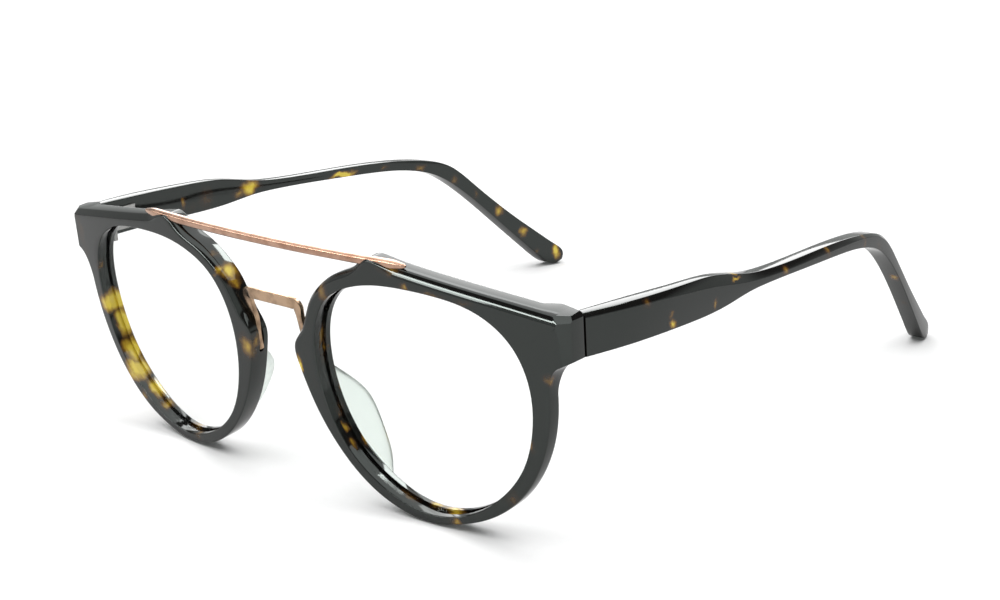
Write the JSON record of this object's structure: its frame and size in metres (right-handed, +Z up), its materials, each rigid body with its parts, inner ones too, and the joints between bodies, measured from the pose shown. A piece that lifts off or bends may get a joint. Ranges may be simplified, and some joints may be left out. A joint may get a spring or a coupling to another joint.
{
  "type": "eyeglasses",
  "caption": "Full-rim acetate eyeglasses with a metal brow bar and bridge, clear lenses, clear nose pads and temples that fold on barrel hinges.",
  "frame": {"origin": "on the surface that the open glasses stand on, under the middle of their outer box", "axes": "+X towards the wearer's left temple, -Y out of the front of the glasses, +Z up"},
  "size_m": [0.1454, 0.1494, 0.0518],
  "materials": {
    "acetate": "polished dark tortoiseshell acetate with amber patches",
    "clear_acetate": "polished clear acetate",
    "lens": "clear plano demonstration lens",
    "copper_bar": "brushed rose copper plating",
    "bronze_bridge": "satin antique bronze plating",
    "hinge_metal": "satin nickel silver",
    "screw_steel": "turned steel",
    "pin_steel": "drawn wire",
    "core_wire": "drawn nickel silver wire"
  },
  "bodies": {
    "front": {"brow_bar": "copper_bar", "bridge": "bronze_bridge", "rim_left": "acetate", "lens_left": "lens", "nose_pad_left": "clear_acetate", "front_hinge_left": "hinge_metal", "hinge_screw_left": "screw_steel", "brow_pins_left": "pin_steel", "bridge_pins_left": "pin_steel", "rim_right": "acetate", "lens_right": "lens", "nose_pad_right": "clear_acetate", "front_hinge_right": "hinge_metal", "hinge_screw_right": "screw_steel", "brow_pins_right": "pin_steel", "bridge_pins_right": "pin_steel"},
    "left_temple": {"temple_left": "acetate", "temple_core_left": "core_wire", "temple_hinge_left": "hinge_metal"},
    "right_temple": {"temple_right": "acetate", "temple_core_right": "core_wire", "temple_hinge_right": "hinge_metal"}
  },
  "joints": [
    {"name": "left_temple_fold", "type": "hinge", "parent": "front", "child": "left_temple", "pos_m": [0.0657, -0.06136, 0.0412], "axis": [0, 0, 1], "range_deg": [0, 84]},
    {"name": "right_temple_fold", "type": "hinge", "parent": "front", "child": "right_temple", "pos_m": [-0.0657, -0.06136, 0.0412], "axis": [0, 0, -1], "range_deg": [0, 76]}
  ]
}
